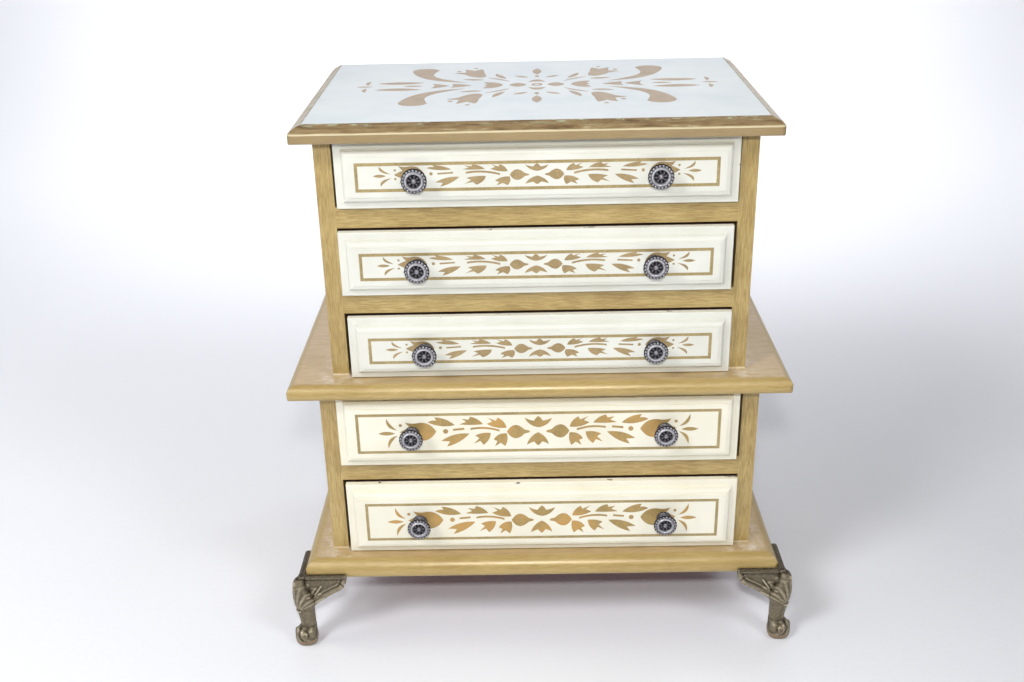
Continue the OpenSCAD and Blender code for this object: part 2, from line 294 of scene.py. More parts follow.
def gilt_top():
    """The top board's edge: front slope worn brown and also in painted shade, side slopes pale
    as a painted reflection of the bright backdrop, and a painted highlight along the edge above
    the upright band.
    """
    low, high = box_mm("top_board")
    p = gilt("gilt_top", "X")
    height = p.math("DIVIDE", p.axes()["Z"], MM)
    band_top = low.z + TOP_BAND_H
    wobble = p.math("MULTIPLY", p.noise(6, 3, 0.6, (0.3, 1, 1)), 0.8)
    slope = p.span(p.math("ADD", height, wobble), band_top + 0.7, band_top + 1.1)
    worn = p.noise(2.4, 5, 0.65, (0.16, 1, 1))
    # Front slope: brown for wear, and darker as painted shade for the dim room it faces.
    brown = p.ramp(
        worn,
        (0.3, rgb(106, 82, 54)),
        (0.46, rgb(146, 120, 82)),
        (0.6, rgb(164, 142, 100)),
        (0.72, rgb(206, 200, 170)),
    )
    # Painted reflection: the sideways-facing slopes are painted pale for the bright backdrop
    # they reflect.
    pale = p.ramp(worn, (0.35, rgb(188, 168, 132)), (0.6, rgb(220, 212, 192)))
    near_panel = p.span(height, high.z - 1.6, high.z - 0.3)
    flecks = p.ramp(p.noise(2.0, 4, 0.65, (0.3, 1, 1)), (0.54, 0.0), (0.62, 1.0))
    brown = p.mix(p.math("MULTIPLY", near_panel, flecks), brown, rgb(196, 200, 168))
    slope_colour = p.mix(p.span(facing(p, "X"), 0.3, 0.5), brown, pale)
    # Painted highlight: a light stripe along the edge just above the upright band.
    band = p.span(height, band_top - 0.2, band_top - 0.5)
    dull = p.mix(0.75, base_colour(p), rgb(152, 131, 96))
    band_with_painted_highlight = p.mix(band, rgb(226, 212, 172), dull)
    p.set(Base_Color=p.mix(slope, band_with_painted_highlight, slope_colour))
    return p


def cream_paint(name, dark, light):
    """Off-white sprayed paint on the drawer fronts, with nicks along the top edges.

    Behind the frame's face, where a front enters its opening, the colour turns very dark brown.
    """
    p = Paint(name)
    patches = p.noise(30, 3, 0.5)
    brushing = p.noise(0.7, 3, 0.5, (0.05, 1, 1))
    colour = p.ramp(patches, (0.3, dark), (0.7, light))
    share = p.axes("Generated")
    top_edge = p.span(share["Z"], 0.975, 0.992)
    side = p.math("ABSOLUTE", p.math("SUBTRACT", share["X"], 0.5))
    end_edge = p.span(side, 0.4955, 0.499)
    edge = p.math("MAXIMUM", top_edge, end_edge)
    nicks = p.ramp(p.noise(3.4, 4, 0.6, (0.45, 1, 1)), (0.66, 0.0), (0.68, 1.0))
    chipped = p.math("MULTIPLY", edge, nicks)
    colour = p.mix(chipped, colour, rgb(96, 74, 52))
    # Very dark brown on the faces behind the frame's face, which darkens the gap line above
    # each front.
    frame_face = box_mm("upper_side_left")[0].y
    depth = p.math("DIVIDE", p.axes()["Y"], MM)
    ragged = p.math("ADD", depth, p.math("MULTIPLY", p.noise(4, 3, 0.6), 0.8))
    dark_brown = p.ramp(brushing, (0.3, rgb(40, 24, 18)), (0.7, rgb(66, 42, 32)))
    colour = p.mix(p.span(ragged, frame_face - 0.5, frame_face - 0.1), colour, dark_brown)
    p.set(Base_Color=colour, Roughness=p.span(brushing, 0.2, 0.8, 0.36, 0.5))
    p.bump((brushing, 0.05), (p.noise(1.6, 2), 0.03), (chipped, -0.25))
    return p


def top_white():
    """Cool white paint of the top panel, with faint handling marks."""
    p = Paint("top_white")
    patches = p.noise(38, 4, 0.55)
    smears = p.noise(4, 4, 0.6, (0.4, 1, 1))
    colour = p.ramp(patches, (0.3, rgb(216, 225, 226)), (0.7, rgb(228, 233, 231)))
    marks = p.ramp(smears, (0.63, 0.0), (0.8, 0.35))
    colour = p.mix(marks, colour, rgb(206, 210, 208))
    p.set(Base_Color=colour, Roughness=p.span(smears, 0.3, 0.7, 0.3, 0.42))
    p.bump((p.noise(1.1, 2), 0.03), (p.noise(0.5, 2, 0.5, (0.06, 1, 1)), 0.02))
    return p


def stencil_paint(name, dark, light, warm=None):
    """Dabbed stencil paint: mottled, a little metallic; warm is the colour of some patches."""
    p = Paint(name)
    dabs = p.noise(1.3, 4, 0.65)
    patches = p.noise(9, 2, 0.5)
    tone = p.math("ADD", p.math("MULTIPLY", dabs, 0.6), p.math("MULTIPLY", patches, 0.4))
    colour = p.ramp(tone, (0.36, dark), (0.62, light))
    if warm:
        colour = p.mix(p.span(p.noise(24, 2, 0.5), 0.45, 0.62, 0.0, 0.8), colour, warm)
    p.set(
        Base_Color=colour,
        Metallic=0.25,
        Roughness=p.span(dabs, 0.3, 0.7, 0.42, 0.58),
    )
    p.bump((dabs, 0.03))
    return p


def dark_wood(name, along, dark, light):
    """Stained wood with long grain lines."""
    p = Paint(name)
    stretch = GRAIN_ALONG[along]
    rings = p.noise(4.5, 5, 0.6, stretch)
    fibres = p.noise(0.6, 3, 0.6, stretch)
    tone = p.math("ADD", p.math("MULTIPLY", rings, 0.7), p.math("MULTIPLY", fibres, 0.3))
    p.set(
        Base_Color=p.ramp(tone, (0.34, dark), (0.64, light)),
        Roughness=p.span(fibres, 0.3, 0.7, 0.55, 0.72),
    )
    p.bump((fibres, 0.08), (rings, 0.1))
    return p


def felt():
    """Napped felt: short tangled fibres and brushed patches."""
    p = Paint("felt")
    fibres = p.noise(0.28, 4, 0.7)
    tufts = p.noise(1.1, 3, 0.6)
    nap = p.noise(14, 3, 0.6)
    tone = p.math("ADD", p.math("MULTIPLY", fibres, 0.5), p.math("MULTIPLY", nap, 0.5))
    p.set(
        Base_Color=p.ramp(tone, (0.34, rgb(84, 14, 24)), (0.66, rgb(138, 32, 44))),
        Roughness=0.95,
        Sheen_Weight=0.6,
        Sheen_Roughness=0.4,
        Sheen_Tint=rgb(200, 120, 120),
    )
    p.bump((tufts, 0.15), (fibres, 0.12))
    return p


def metal(name, hollow, body, raised, roughness, cast=0.06, band=None):
    """Cast metal: dark in the hollows and bright where it is rubbed.

    The mesh carries the attribute relief, from 0 in hollows to 1 on raised parts. cast is
    the depth of the rough skin in mm. band is (low, high, colour): a stretch of the
    piece's height, in mm, that is tinted.
    """
    p = Paint(name)
    relief = p.add("ShaderNodeAttribute", attribute_name="relief").outputs["Fac"]
    mottle = p.noise(1.1, 4, 0.65)
    uneven = p.math("MULTIPLY", p.math("SUBTRACT", mottle, 0.5), 0.5)
    tone = p.math("ADD", relief, uneven, clamp=True)
    colour = p.ramp(tone, (0.16, hollow), (0.5, body), (0.86, raised))
    if band:
        low, high, tint = band
        height = p.math("DIVIDE", p.axes()["Z"], MM)
        inside = p.math(
            "MULTIPLY",
            p.span(height, low, low + 0.8),
            p.span(height, high, high - 0.8),
        )
        amount = p.math("MULTIPLY", inside, p.span(relief, 0.4, 0.7, 0.1, 0.75))
        colour = p.mix(amount, colour, tint)
    rough = p.span(tone, 0.2, 0.8, roughness + 0.22, roughness)
    p.set(Base_Color=colour, Metallic=0.75, Roughness=rough)
    p.bump((p.noise(2.6, 3, 0.6), cast * 3), (mottle, cast), (p.noise(0.3, 3), 0.03))
    return p


def screw_steel():
    p = Paint("screw_steel")
    turning = p.noise(0.4, 3, 0.6, (1, 0.1, 1))
    p.set(
        Base_Color=p.ramp(turning, (0.3, rgb(120, 120, 118)), (0.7, rgb(190, 190, 186))),
        Metallic=0.95,
        Roughness=p.span(turning, 0.3, 0.7, 0.3, 0.5),
    )
    p.bump((turning, 0.03))
    return p


LOOKS = {
    "gilt_x": gilt("gilt_x", "X"),
    "gilt_side": gilt_side(),
    "gilt_top": gilt_top(),
    "gilt_waist": gilt_ledge("waist_board", box_mm("upper_side_right")[1].x),
    "gilt_base": gilt_ledge("base_board", box_mm("lower_side_right")[1].x, stained=True),
    # Painted light and shade: the upper drawers' cream is painted darker and the lower drawers'
    # lighter, evening out a lamp that lights the upper fronts more; the lower cream is also
    # warmer, its own colour.
    "upper_cream_painted_shade": cream_paint("upper_cream_painted_shade", rgb(223, 222, 210), rgb(232, 232, 222)),
    "lower_cream_warm_painted_light": cream_paint("lower_cream_warm_painted_light", rgb(238, 233, 212), rgb(245, 241, 224)),
    "top_white": top_white(),
    "upper_stencil": stencil_paint("upper_stencil", rgb(156, 134, 94), rgb(182, 158, 114)),
    "lower_stencil": stencil_paint(
        "lower_stencil", rgb(160, 136, 84), rgb(186, 158, 102), rgb(206, 162, 94)
    ),
    "top_stencil": stencil_paint("top_stencil", rgb(178, 155, 126), rgb(196, 175, 147)),
    "gold_line": stencil_paint("gold_line", rgb(156, 138, 92), rgb(186, 165, 116)),
    "stained": dark_wood("stained", "Z", rgb(48, 24, 16), rgb(88, 46, 30)),
    "bare": dark_wood("bare", "Y", rgb(62, 34, 22), rgb(110, 66, 44)),
    "felt": felt(),
    "silver": metal("silver", rgb(38, 34, 40), rgb(150, 148, 152), rgb(236, 236, 242), 0.3),
    "bronze": metal(
        "bronze",
        rgb(50, 43, 34),
        rgb(136, 125, 104),
        rgb(206, 194, 166),
        0.36,
        cast=0.14,
        band=(1.2, 4.6, rgb(176, 138, 106)),
    ),
    "steel": screw_steel(),
}
MATERIALS = {name: paint.material for name, paint in LOOKS.items()}


def dress(node, material):
    """Gives a CAD node a material."""
    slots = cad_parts[node].data.materials
    slots.clear()
    slots.append(MATERIALS[material])


BOARD_LOOKS = {
    "top_board": "gilt_top",
    "waist_board": "gilt_waist",
    "base_board": "gilt_base",
}


def dress_frame():
    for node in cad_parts:
        if node in BOARD_LOOKS:
            dress(node, BOARD_LOOKS[node])
        elif "back_panel" in node:
            dress(node, "stained")
        elif node.startswith(("upper_side", "lower_side")):
            dress(node, "gilt_side")
        elif "rail" in node:
            dress(node, "gilt_x")
        elif node.endswith("_front"):
            upper = any(node.startswith(f"drawer_{k}_") for k in UPPER_DRAWERS)
            dress(node, "upper_cream_painted_shade" if upper else "lower_cream_warm_painted_light")
        elif node.endswith("lining"):
            dress(node, "felt")
        elif node.endswith("screws"):
            dress(node, "steel")
        elif node.startswith("drawer"):
            dress(node, "bare")


# ---------- mesh helpers ----------


def add_piece(name, mesh, material, body):
    """Puts a mesh in the scene as a piece that rides on a CAD body."""
    mesh.materials.clear()
    mesh.materials.append(MATERIALS[material])
    piece = bpy.data.objects.new(name, mesh)
    bpy.context.scene.collection.objects.link(piece)
    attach(piece, body)
    return piece


def mesh_from(name, points_mm, faces, smooth=True):
    mesh = bpy.data.meshes.new(name)
    mesh.from_pydata([tuple(c * MM for c in p) for p in points_mm], [], faces)
    mesh.validate()
    for polygon in mesh.polygons:
        polygon.use_smooth = smooth
    return mesh


# ---------- flat painted shapes ----------
# Outlines run clockwise. Each corner is (x, y, bow): the edge that leaves it bows
# outwards by that share of its length.

EDGE_STEPS = 7


def outline(*corners):
    points = []
    for (x0, y0, bow), (x1, y1, _) in zip(corners, corners[1:] + corners[:1]):
        steps = EDGE_STEPS if bow else 1
        for step in range(steps):
            t = step / steps
            side = 4 * bow * t * (1 - t)
            dx, dy = x1 - x0, y1 - y0
            points.append((x0 + dx * t - dy * side, y0 + dy * t + dx * side))
    return points


def lens(x0, y0, x1, y1, width, bow=0.0):
    """Leaf pointed at both ends; bow bends it to the left of its direction."""
    half = width / 2 / math.hypot(x1 - x0, y1 - y0)
    return outline((x0, y0, half + bow), (x1, y1, half - bow))


def stroke(x0, y0, x1, y1, width, bow=0.0):
    """Line of even width with blunt ends."""
    length = math.hypot(x1 - x0, y1 - y0)
    nx, ny = (y0 - y1) / length * width / 2, (x1 - x0) / length * width / 2
    return outline(
        (x0 + nx, y0 + ny, bow),
        (x1 + nx, y1 + ny, 0),
        (x1 - nx, y1 - ny, -bow),
        (x0 - nx, y0 - ny, 0),
    )


def dot(x, y, radius):
    turns = [2 * math.pi * k / 18 for k in range(18)]
    return [(x + radius * math.cos(a), y - radius * math.sin(a)) for a in turns]


def half_ring(outer, inner):
    """Right half of a ring round the middle."""
    turns = [math.pi * (0.5 - k / 12) for k in range(13)]
    around = [(outer * math.cos(a), outer * math.sin(a)) for a in turns]
    return around + [(inner * math.cos(a), inner * math.sin(a)) for a in reversed(turns)]


def mirror_x(points):
    return [(-x, y) for x, y in reversed(points)]


def mirror_y(points):
    return [(x, -y) for x, y in reversed(points)]


def both_sides(shapes):
    return shapes + [mirror_x(s) for s in shapes]


# The drawer stencil: each shape as cut for the lower drawers, from the middle out, and the
# box (x from, x to, y from, y to) it fills on the shallower upper drawers.
CENTRE_TULIPS = [
    (
        outline(
            (-7.8, 9.4, -0.06),
            (-2.3, 7.2, 0.08),
            (0.2, 10.3, 0.08),
            (2.7, 7.2, -0.06),
            (8.2, 9.1, 0.14),
            (0.3, 2.9, 0.14),
        ),
        (-6.2, 6.2, 2.2, 6.3),
    ),
    (
        outline(
            (0.0, -0.4, 0.12),
            (6.3, -8.6, -0.05),
            (2.2, -6.5, 0.05),
            (0.0, -9.2, 0.05),
            (-2.3, -6.6, -0.05),
            (-6.7, -8.8, 0.12),
        ),
        (-6.3, 6.2, -5.1, -0.4),
    ),
]
BUD = (
    outline(
        (5.2, -0.4, 0.3),
        (5.2, 0.8, 0.0),
        (7.9, 1.5, 0.36),
        (18.3, 0.3, 0.36),
        (7.9, -1.1, 0.0),
    ),
    (4.2, 14.5, -2.6, 3.2),
)
FIRST_LEAVES = [
    (
        outline(
            (18.4, 3.0, 0.12),
            (23.6, 9.7, -0.05),
            (24.7, 7.6, 0.0),
            (29.9, 9.9, -0.05),
            (26.7, 7.1, 0.0),
            (30.0, 5.7, 0.1),
        ),
        (15.5, 24.7, 2.2, 6.3),
    ),
    (
        outline(
            (18.4, -0.8, 0.16),
            (26.2, -4.8, 0.0),
            (24.0, -5.9, 0.0),
            (25.4, -9.3, 0.0),
            (22.0, -7.0, 0.0),
            (19.5, -9.3, 0.1),
        ),
        (14.2, 22.4, -5.4, -0.6),
    ),
]
SECOND_LEAVES = [
    (
        outline(
            (32.2, 5.5, 0.1),
            (39.6, 10.6, -0.04),
            (40.6, 8.6, 0.0),
            (44.5, 9.3, 0.0),
            (42.0, 7.2, 0.0),
            (46.0, 5.6, 0.03),
        ),
        (27.5, 39.6, 3.5, 6.4),
    ),
    (
        outline(
            (27.8, -0.4, 0.08),
            (36.9, -1.9, 0.0),
            (34.5, -3.8, 0.0),
            (37.9, -7.3, 0.0),
            (33.9, -5.6, 0.0),
            (32.2, -8.2, 0.12),
        ),
        (27.2, 38.8, -4.8, 0.0),
    ),
]
THIRD_LEAVES = [
    (
        outline((48.7, 5.2, 0.1), (60.6, 10.5, -0.05), (59.4, 8.3, 0.1), (64.4, 7.3, 0.1)),
        (45.4, 58.7, 3.5, 6.3),
    ),
    (
        outline((40.3, -0.6, 0.1), (57.0, -5.2, 0.0), (51.7, -5.6, 0.0), (53.8, -9.0, 0.08)),
        (41.3, 54.2, -5.5, -0.2),
    ),
]
STEM = [
    (stroke(22.6, 1.1, 39.6, 2.4, 1.25, 0.07), (19.6, 37.9, 0.2, 2.9)),
    (stroke(43.2, 2.7, 49.8, 2.0, 1.3), (44.5, 53.0, 1.1, 2.5)),
    (dot(54.2, 1.1, 1.5), (55.4, 57.2, 0.7, 2.5)),
]
FLOWER = [
    (
        outline(
            (59.7, 1.1, 0.2),
            (72.0, 6.6, -0.05),
            (77.7, 7.4, 0.03),
            (74.8, 3.9, 0.03),
            (81.0, 1.0, 0.03),
            (74.8, -1.9, 0.03),
            (77.7, -5.3, -0.05),
            (72.0, -4.5, 0.2),
        ),
        (59.7, 76.0, -3.5, 6.2),
    ),
    (dot(80.5, 5.5, 0.95), (74.8, 76.1, 3.3, 4.5)),
    (dot(80.5, -3.5, 0.9), (74.8, 76.1, -1.5, -0.3)),
    (lens(82.6, 2.3, 88.6, 10.2, 1.9, -0.16), (78.0, 83.9, 1.8, 6.0)),
    (lens(83.8, 0.2, 93.7, 0.2, 2.4), (80.3, 87.4, 0.0, 1.6)),
    (lens(82.4, -1.3, 88.2, -9.8, 1.9, 0.16), (77.4, 83.5, -5.0, -0.5)),
]


def fit_box(shape, box):
    """The shape stretched to fill the box (x from, x to, y from, y to)."""
    x0, x1, y0, y1 = box
    xs, ys = zip(*shape)
    across, up = (x1 - x0) / (max(xs) - min(xs)), (y1 - y0) / (max(ys) - min(ys))
    return [(x0 + (x - min(xs)) * across, y0 + (y - min(ys)) * up) for x, y in shape]


def drawer_stencil(upper):
    vine = [BUD, *FIRST_LEAVES, *SECOND_LEAVES, *THIRD_LEAVES, *STEM, *FLOWER]
    centre, half = (
        [fit_box(shape, box) if upper else shape for shape, box in group]
        for group in (CENTRE_TULIPS, vine)
    )
    return centre + both_sides(half)


def frame_line(half_w, half_h, line):
    """Four strips that make a ruled rectangle."""
    in_w, in_h = half_w - line, half_h - line

    def strip(x0, y0, x1, y1):
        return outline((x0, y1, 0), (x1, y1, 0), (x1, y0, 0), (x0, y0, 0))

    return [
        strip(-half_w, in_h, half_w, half_h),
        strip(-half_w, -half_h, half_w, -in_h),
        strip(-half_w, -in_h, -in_w, in_h),
        strip(in_w, -in_h, half_w, in_h),
    ]


FILM = 0.07
SUNK = 0.03


def film_mesh(name, shapes, to_row):
    """Thin solids with flat faces; to_row puts (x, y, lift) in the row frame, in mm."""
    build = bmesh.new()
    for shape in shapes:
        top = [build.verts.new(Vector(to_row(x, y, FILM)) * MM) for x, y in shape]
        foot = [build.verts.new(Vector(to_row(x, y, -SUNK)) * MM) for x, y in shape]
        for a, b, c in tessellate_polygon([[Vector((x, y, 0)) for x, y in shape]]):
            build.faces.new((top[a], top[b], top[c]))
            build.faces.new((foot[a], foot[c], foot[b]))
        count = len(shape)
        for k in range(count):
            after = (k + 1) % count
            build.faces.new((top[k], foot[k], foot[after], top[after]))
    bmesh.ops.recalc_face_normals(build, faces=build.faces)
    mesh = bpy.data.meshes.new(name)
    build.to_mesh(mesh)
    build.free()
    return mesh


BORDER_IN_SIDE = 11.5
BORDER_IN_TOP = 10.6
BORDER_LINE = 1.7


def paint_drawer(k):
    """Border line and stencil on a drawer's raised field."""
    low, high = box_mm(f"drawer_{k}_front")
    middle = (low + high) / 2
    upper = k in UPPER_DRAWERS

    def to_row(x, y, lift):
        return middle.x + x, low.y - lift, middle.z + y

    body = f"drawer_{k}"
    half_w = (high.x - low.x) / 2 - BORDER_IN_SIDE
    half_h = (high.z - low.z) / 2 - BORDER_IN_TOP
    border = film_mesh(f"drawer_{k}_border", frame_line(half_w, half_h, BORDER_LINE), to_row)
    add_piece(f"drawer_{k}_border", border, "gold_line", body)
    leaves = film_mesh(f"drawer_{k}_stencil", drawer_stencil(upper), to_row)
    paint = "upper_stencil" if upper else "lower_stencil"
    add_piece(f"drawer_{k}_stencil", leaves, paint, body)


# Top stencil: one quarter, then what lies on each axis. Millimetres from its middle.
TOP_QUARTER = [
    # big feather that swells to a round end
    outline(
        (42.0, -8.3, 0.05),
        (56.0, -12.4, 0.06),
        (68.0, -21.0, 0.05),
        (75.0, -33.0, 0.04),
        (77.6, -43.0, 0.12),
        (74.5, -48.6, 0.12),
        (67.0, -50.0, 0.12),
        (61.0, -45.0, -0.02),
        (63.2, -36.0, -0.08),
        (62.0, -26.0, -0.08),
        (53.0, -15.8, -0.04),
    ),
    # tulip with a side petal
    outline(
        (31.0, -25.0, 0.25),
        (36.5, -22.5, 0.08),
        (44.0, -31.4, -0.05),
        (50.8, -34.6, 0.1),
        (43.8, -36.6, 0.0),
        (44.8, -46.2, 0.05),
        (39.0, -41.8, 0.05),
        (34.0, -46.2, 0.03),
        (32.6, -35.0, 0.03),
    ),
    dot(38.4, -49.4, 1.3),
    dot(48.4, -40.4, 1.5),
    lens(31.5, -15.2, 44.5, -17.2, 3.6, 0.04),
    lens(18.4, -17.6, 25.2, -32.2, 3.8, 0.05),
    lens(5.2, -20.2, 13.4, -25.2, 3.0),
    lens(16.0, -9.4, 29.8, -20.4, 1.9, -0.05),
    lens(67.5, -9.2, 95.0, -8.6, 6.2, 0.02),
    lens(100.4, -4.6, 100.0, -14.4, 2.6, 0.1),
]
TOP_SIDEWAYS = [
    lens(6.0, 0.0, 16.4, 0.0, 9.6),
    outline(
        (20.0, 0.0, 0.2),
        (31.6, 8.2, 0.05),
        (29.0, 2.6, 0.0),
        (31.2, 0.0, 0.0),
        (29.0, -2.6, 0.05),
        (31.6, -8.2, 0.2),
    ),
    outline((38.6, 0.0, 0.06), (50.6, 5.0, -0.1), (50.6, -5.0, 0.06)),
    outline((51.6, 0.0, 0.05), (62.2, 6.0, -0.14), (62.2, -6.0, 0.05)),
    lens(67.5, 0.0, 79.0, 0.0, 3.4),
    lens(97.0, 0.0, 106.8, 0.0, 2.6),
]
TOP_LENGTHWAYS = [
    outline((-5.2, -7.2, -0.12), (5.2, -7.2, 0.62)),
    lens(0.0, -20.4, 0.0, -26.0, 2.8),
    lens(0.0, -29.0, 0.0, -46.4, 5.6),
]
TOP_MIDDLE = (2.0, 11.8)
TOP_TURN = math.radians(-1.0)
TOP_DEPTH = 1.02


def paint_top():
    """The white panel and its stencil, in the shallow sinking of the top board."""
    low, high = box_mm("top_board")
    floor = high.z - TOP_SINK
    cut = TOP_SLOPE_W + 0.12
    panel = outline(
        (low.x + cut, high.y - 0.15, 0),
        (high.x - cut, high.y - 0.15, 0),
        (high.x - cut, low.y + cut, 0),
        (low.x + cut, low.y + cut, 0),
    )

    def on_board(x, y, lift):
        return x, y, floor + lift

    white = film_mesh("top_panel_paint", [panel], on_board)
    add_piece("top_panel_paint", white, "top_white", "carcass")

    def on_paint(x, y, lift):
        turned = Matrix.Rotation(TOP_TURN, 2) @ Vector((x, y * TOP_DEPTH))
        return turned.x + TOP_MIDDLE[0], turned.y + TOP_MIDDLE[1], floor + FILM + lift

    quarter = TOP_QUARTER + [mirror_y(s) for s in TOP_QUARTER]
    lengthways = TOP_LENGTHWAYS + [mirror_y(s) for s in TOP_LENGTHWAYS]
    shapes = both_sides(quarter + TOP_SIDEWAYS + [half_ring(3.4, 1.5)]) + lengthways
    leaves = film_mesh("top_stencil", shapes, on_paint)
    add_piece("top_stencil", leaves, "top_stencil", "carcass")


# ---------- knobs ----------

KNOB_TURNS = 168
KNOB_BEADS = 20
KNOB_PETALS = 8
# radii: the dish's middle boss, the dish's edge, the ring's outer edge, the rim's outer part
BOSS_R = 1.4
DISH_R = 3.6
RING_R = 5.15
RIM_R = 6.3
BEAD_BAND_W = 1.9
# (radius, height) from the middle of the face out, round the rim, and back along the neck
KNOB_PROFILE = [
    (0.0, 9.25), (0.5, 9.22), (1.0, 9.05), (1.3, 8.75), (1.5, 8.4),
    (1.8, 8.2), (2.2, 8.2), (2.6, 8.2), (3.0, 8.2), (3.3, 8.2), (3.55, 8.3),
    (3.75, 8.7), (3.9, 9.1), (4.1, 9.4), (4.4, 9.55), (4.7, 9.5), (4.9, 9.3), (5.05, 9.0),
    (5.25, 8.85), (5.5, 8.85), (5.8, 8.9), (6.1, 8.9), (6.4, 8.8), (6.7, 8.55),
    (6.9, 8.2), (6.95, 7.8), (6.9, 7.4), (6.6, 7.0), (6.0, 6.5), (5.0, 5.9),
    (4.0, 5.3), (3.2, 4.5), (2.8, 3.6), (2.75, 2.8), (3.0, 2.0), (3.4, 1.5),
    (4.0, 1.2), (4.5, 0.9), (4.6, 0.5), (4.6, 0.0),
]


def knob_relief(radius, height, angle):
    """Extra radius and height of the cast ornament at one place of the profile."""
    bead = abs(math.cos(angle * KNOB_BEADS / 2))
    if height > 5.8 and radius > RING_R:
        swell = math.sin(math.pi * min(1, (radius - RING_R) / BEAD_BAND_W))
        rim = -0.3 * (1 - bead) ** 2 if radius > RIM_R else 0.0
        return rim, 0.6 * (bead**0.7 - 0.6) * swell
    if BOSS_R < radius < DISH_R and height > 7:
        petal = abs(math.cos(angle * KNOB_PETALS / 2))
        swell = math.sin(math.pi * (radius - BOSS_R) / (DISH_R - BOSS_R))
        return 0.0, 0.8 * (petal**1.5 - 0.3) * swell
    if 3.8 < radius < 4.95 and height > 8.8:
        return 0.0, 0.12 * math.cos(angle * KNOB_BEADS * 2)
    return 0.0, 0.0


def knob_shade(radius, height):
    """Relief value of a place on the knob: dish dark, ring grey, tips of the beads bright."""
    if height < 7.9:
        return 0.4 if height > 6 else 0.26
    if radius < 3.7:
        return 0.14 + 0.34 * (height - 8.2)
    if radius < RING_R:
        return 0.62
    return 0.22 + 1.0 * (height - 8.75)


def knob_mesh():
    """Cast rosette knob, standing on XY with its face up."""
    points, relief, faces = [(0, 0, KNOB_PROFILE[0][1])], [0.5], []
    for radius, height in KNOB_PROFILE[1:]:
        for turn in range(KNOB_TURNS):
            angle = 2 * math.pi * turn / KNOB_TURNS
            more_r, more_h = knob_relief(radius, height, angle)
            r, h = radius + more_r, height + more_h
            points.append((r * math.cos(angle), r * math.sin(angle), h))
            relief.append(min(1.0, max(0.0, knob_shade(radius, h))))
    for turn in range(KNOB_TURNS):
        after = (turn + 1) % KNOB_TURNS
        faces.append((0, 1 + turn, 1 + after))
        for ring in range(len(KNOB_PROFILE) - 2):
            a, b = 1 + ring * KNOB_TURNS + turn, 1 + ring * KNOB_TURNS + after
            faces.append((a, a + KNOB_TURNS, b + KNOB_TURNS, b))
    faces.append(tuple(range(len(points) - KNOB_TURNS, len(points)))[::-1])
    mesh = mesh_from("knob", points, faces)
    store_relief(mesh, relief)
    return mesh


def store_relief(mesh, values):
    attribute = mesh.attributes.new("relief", "FLOAT", "POINT")
    attribute.data.foreach_set("value", np.asarray(values, np.float32))


def add_knobs():
    mesh = knob_mesh()
    for k in DRAWERS:
        low, high = box_mm(f"drawer_{k}_knobs")
        field = box_mm(f"drawer_{k}_front")[0].y
        radius = (high.z - low.z) / 2
        places = {"left": low.x + radius, "right": high.x - radius}
        for count, (side, x) in enumerate(places.items()):
            name = f"drawer_{k}_knob_{side}"
            copy = mesh.copy()
            turn = Matrix.Rotation(math.radians(37 * k + 61 * count), 4, "Z")
            copy.transform(turn)
            face_front = Matrix.Rotation(math.radians(90), 4, "X")
            piece = bpy.data.objects.new(name, copy)
            copy.materials.append(MATERIALS["silver"])
            piece.matrix_world = (
                Matrix.Translation(Vector((x, field, (low.z + high.z) / 2)) * MM) @ face_front
            )
            bpy.context.scene.collection.objects.link(piece)
            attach(piece, f"drawer_{k}")
            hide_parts(f"drawer_{k}_knobs")


# ---------- feet ----------
# Made once in a corner frame in millimetres: u runs inwards from the outermost plane
# along the front, v inwards along the side, and z up from the floor.

LEG_OUTER = [
    (0.0, 2.0), (1.2, 0.8), (3.0, 0.1), (5.0, 0.1), (7.0, 0.3), (8.6, 0.9), (10.0, 1.8),
    (11.3, 3.2), (12.6, 3.9), (15.0, 3.9), (20.0, 3.4), (26.0, 2.3), (30.0, 1.6),
    (34.0, 1.2), (38.0, 1.4), (43.0, 1.8), (45.0, 1.9), (46.5, 2.4), (47.6, 3.2),
    (48.1, 4.4),
]
LEG_INNER = [
    (0.0, 11.5), (1.2, 13.2), (3.4, 13.8), (6.4, 13.5), (9.4, 13.0), (14.0, 12.9),
    (20.0, 12.8), (25.0, 13.1), (28.6, 14.8), (31.6, 14.5), (36.0, 12.5), (40.0, 10.5),
    (43.0, 8.9), (46.5, 8.8), (47.6, 8.6), (48.1, 8.3),
]
ARM_LOW_EDGE = [
    (14.8, 28.6), (18.3, 31.7), (22.3, 34.2), (27.0, 36.9), (30.2, 38.5), (32.8, 40.6),
    (34.2, 43.4), (35.0, 46.2), (35.2, 47.6),
]
ARM_TOP = 49.0
ARM_END = 34.6
ARM_FACE = 4.5
ARM_BACK = 8.9
BOARD_LOW = 44.4
FLANGE_LOW = 42.0
FOOT_VOXEL = 0.4


def value_at(table, z):
    zs, values = zip(*table)
    return float(np.interp(z, zs, values))


def ring_loft(build, rings):
    """Closed skin through rings of points, capped at both ends."""
    rows = [[build.verts.new(p) for p in ring] for ring in rings]
    count = len(rows[0])
    for low, high in zip(rows, rows[1:]):
        for k in range(count):
            after = (k + 1) % count
            build.faces.new((low[k], low[after], high[after], high[k]))
    build.faces.new(rows[0][::-1])
    build.faces.new(rows[-1])


def leg_ring(z):
    """Soft square section, its four corners rounded alike."""
    outer, inner = value_at(LEG_OUTER, z), value_at(LEG_INNER, z)
    centre, half = (outer + inner) / 2, (inner - outer) / 2
    ring = []
    for k in range(40):
        a = 2 * math.pi * k / 40
        c, s = math.cos(a), math.sin(a)
        power = 2.6
        r = half / (abs(c) ** power + abs(s) ** power) ** (1 / power)
        ring.append((centre + r * c, centre + r * s, z))
    return ring


